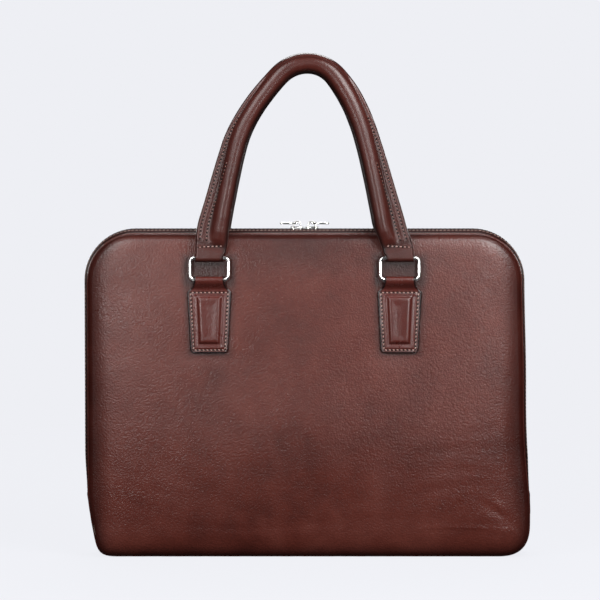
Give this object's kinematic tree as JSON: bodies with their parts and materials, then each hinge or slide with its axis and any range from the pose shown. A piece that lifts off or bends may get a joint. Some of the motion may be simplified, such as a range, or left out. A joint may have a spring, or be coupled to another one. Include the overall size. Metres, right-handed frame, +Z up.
{
  "type": "leather briefcase",
  "caption": "Slim reddish-brown leather briefcase with rolled twin handles on metal rings, stitched anchor tabs, piped edges and a zip over the top.",
  "frame": {"origin": "middle of the flat base, on the surface that the briefcase stands on", "axes": "+Z up, -Y out of the front panel, +X to the right as seen from the front"},
  "size_m": [0.3864, 0.0894, 0.4403],
  "materials": {
    "brown_leather": "polished reddish-brown cowhide, burnished darker at the edges",
    "lining_fabric": "twill lining",
    "zip_tape": "woven tape",
    "zip_teeth": "dark metal teeth",
    "nickel": "polished nickel plate",
    "foam": "soft foam",
    "board": "stiff fibre board",
    "handle_rope": "rolled cotton rope core"
  },
  "bodies": {
    "case": {"rear_panel": "brown_leather", "rear_padding": "foam", "rear_lining": "lining_fabric", "rear_piping": "brown_leather", "rear_gusset_facing": "brown_leather", "rear_zip_tape": "zip_tape", "rear_zip_chain": "zip_teeth", "rear_tab_fillers": "foam", "rear_anchor_backings": "board", "rear_left_anchor_tab": "brown_leather", "rear_right_anchor_tab": "brown_leather", "laptop_sleeve": "lining_fabric", "base_gusset": "brown_leather", "base_board": "board", "base_lining": "lining_fabric", "left_zip_end_tab": "brown_leather", "right_zip_end_tab": "brown_leather"},
    "front_half": {"front_panel": "brown_leather", "front_padding": "foam", "front_lining": "lining_fabric", "front_piping": "brown_leather", "front_gusset_facing": "brown_leather", "front_zip_tape": "zip_tape", "front_zip_chain": "zip_teeth", "front_tab_fillers": "foam", "front_anchor_backings": "board", "front_left_anchor_tab": "brown_leather", "front_right_anchor_tab": "brown_leather", "front_slip_pocket": "lining_fabric"},
    "left_slider": {"left_slider": "nickel"},
    "left_pull": {"left_pull": "nickel"},
    "right_slider": {"right_slider": "nickel"},
    "right_pull": {"right_pull": "nickel"},
    "front_left_ring": {"front_left_ring": "nickel"},
    "front_right_ring": {"front_right_ring": "nickel"},
    "front_handle": {"front_handle_cover": "brown_leather", "front_handle_core": "handle_rope"},
    "rear_left_ring": {"rear_left_ring": "nickel"},
    "rear_right_ring": {"rear_right_ring": "nickel"},
    "rear_handle": {"rear_handle_cover": "brown_leather", "rear_handle_core": "handle_rope"}
  },
  "joints": [
    {"name": "front_open", "type": "hinge", "parent": "case", "child": "front_half", "pos_m": [0, -0.022, 0.0018], "axis": [1, 0, 0], "range_deg": [0, 30], "deforming": ["front_zip_chain"]},
    {"name": "left_zip_slide", "type": "slide", "parent": "case", "child": "left_slider", "axis": [-1, 0, 0], "range_m": [0, 0.13]},
    {"name": "left_pull_flip", "type": "hinge", "parent": "left_slider", "child": "left_pull", "pos_m": [-0.0065, 0, 0.2916], "axis": [0, 1, 0], "range_deg": [0, 100]},
    {"name": "right_zip_slide", "type": "slide", "parent": "case", "child": "right_slider", "axis": [1, 0, 0], "range_m": [0, 0.13]},
    {"name": "right_pull_flip", "type": "hinge", "parent": "right_slider", "child": "right_pull", "pos_m": [0.0065, 0, 0.2916], "axis": [0, -1, 0], "range_deg": [0, 100]},
    {"name": "front_left_ring_swing", "type": "hinge", "parent": "front_half", "child": "front_left_ring", "pos_m": [-0.0827, -0.036, 0.2434], "axis": [1, 0, 0], "range_deg": [0, 100]},
    {"name": "front_right_ring_swing", "type": "hinge", "parent": "front_half", "child": "front_right_ring", "pos_m": [0.0827, -0.036, 0.2434], "axis": [1, 0, 0], "range_deg": [0, 100]},
    {"name": "front_handle_swing", "type": "hinge", "parent": "front_left_ring", "child": "front_handle", "pos_m": [-0.0827, -0.036, 0.2625], "axis": [1, 0, 0], "range_deg": [-4, 80]},
    {"name": "rear_left_ring_swing", "type": "hinge", "parent": "case", "child": "rear_left_ring", "pos_m": [-0.0827, 0.036, 0.2434], "axis": [-1, 0, 0], "range_deg": [0, 100]},
    {"name": "rear_right_ring_swing", "type": "hinge", "parent": "case", "child": "rear_right_ring", "pos_m": [0.0827, 0.036, 0.2434], "axis": [-1, 0, 0], "range_deg": [0, 100]},
    {"name": "rear_handle_swing", "type": "hinge", "parent": "rear_left_ring", "child": "rear_handle", "pos_m": [-0.0827, 0.036, 0.2625], "axis": [-1, 0, 0], "range_deg": [-4, 80]}
  ],
  "couplings": [
    {"joint": "left_zip_slide", "follows": "front_open", "m_per_rad": 0.2482},
    {"joint": "right_zip_slide", "follows": "front_open", "m_per_rad": 0.2482},
    {"joint": "front_right_ring_swing", "follows": "front_left_ring_swing", "ratio": 1},
    {"joint": "rear_right_ring_swing", "follows": "rear_left_ring_swing", "ratio": 1}
  ]
}
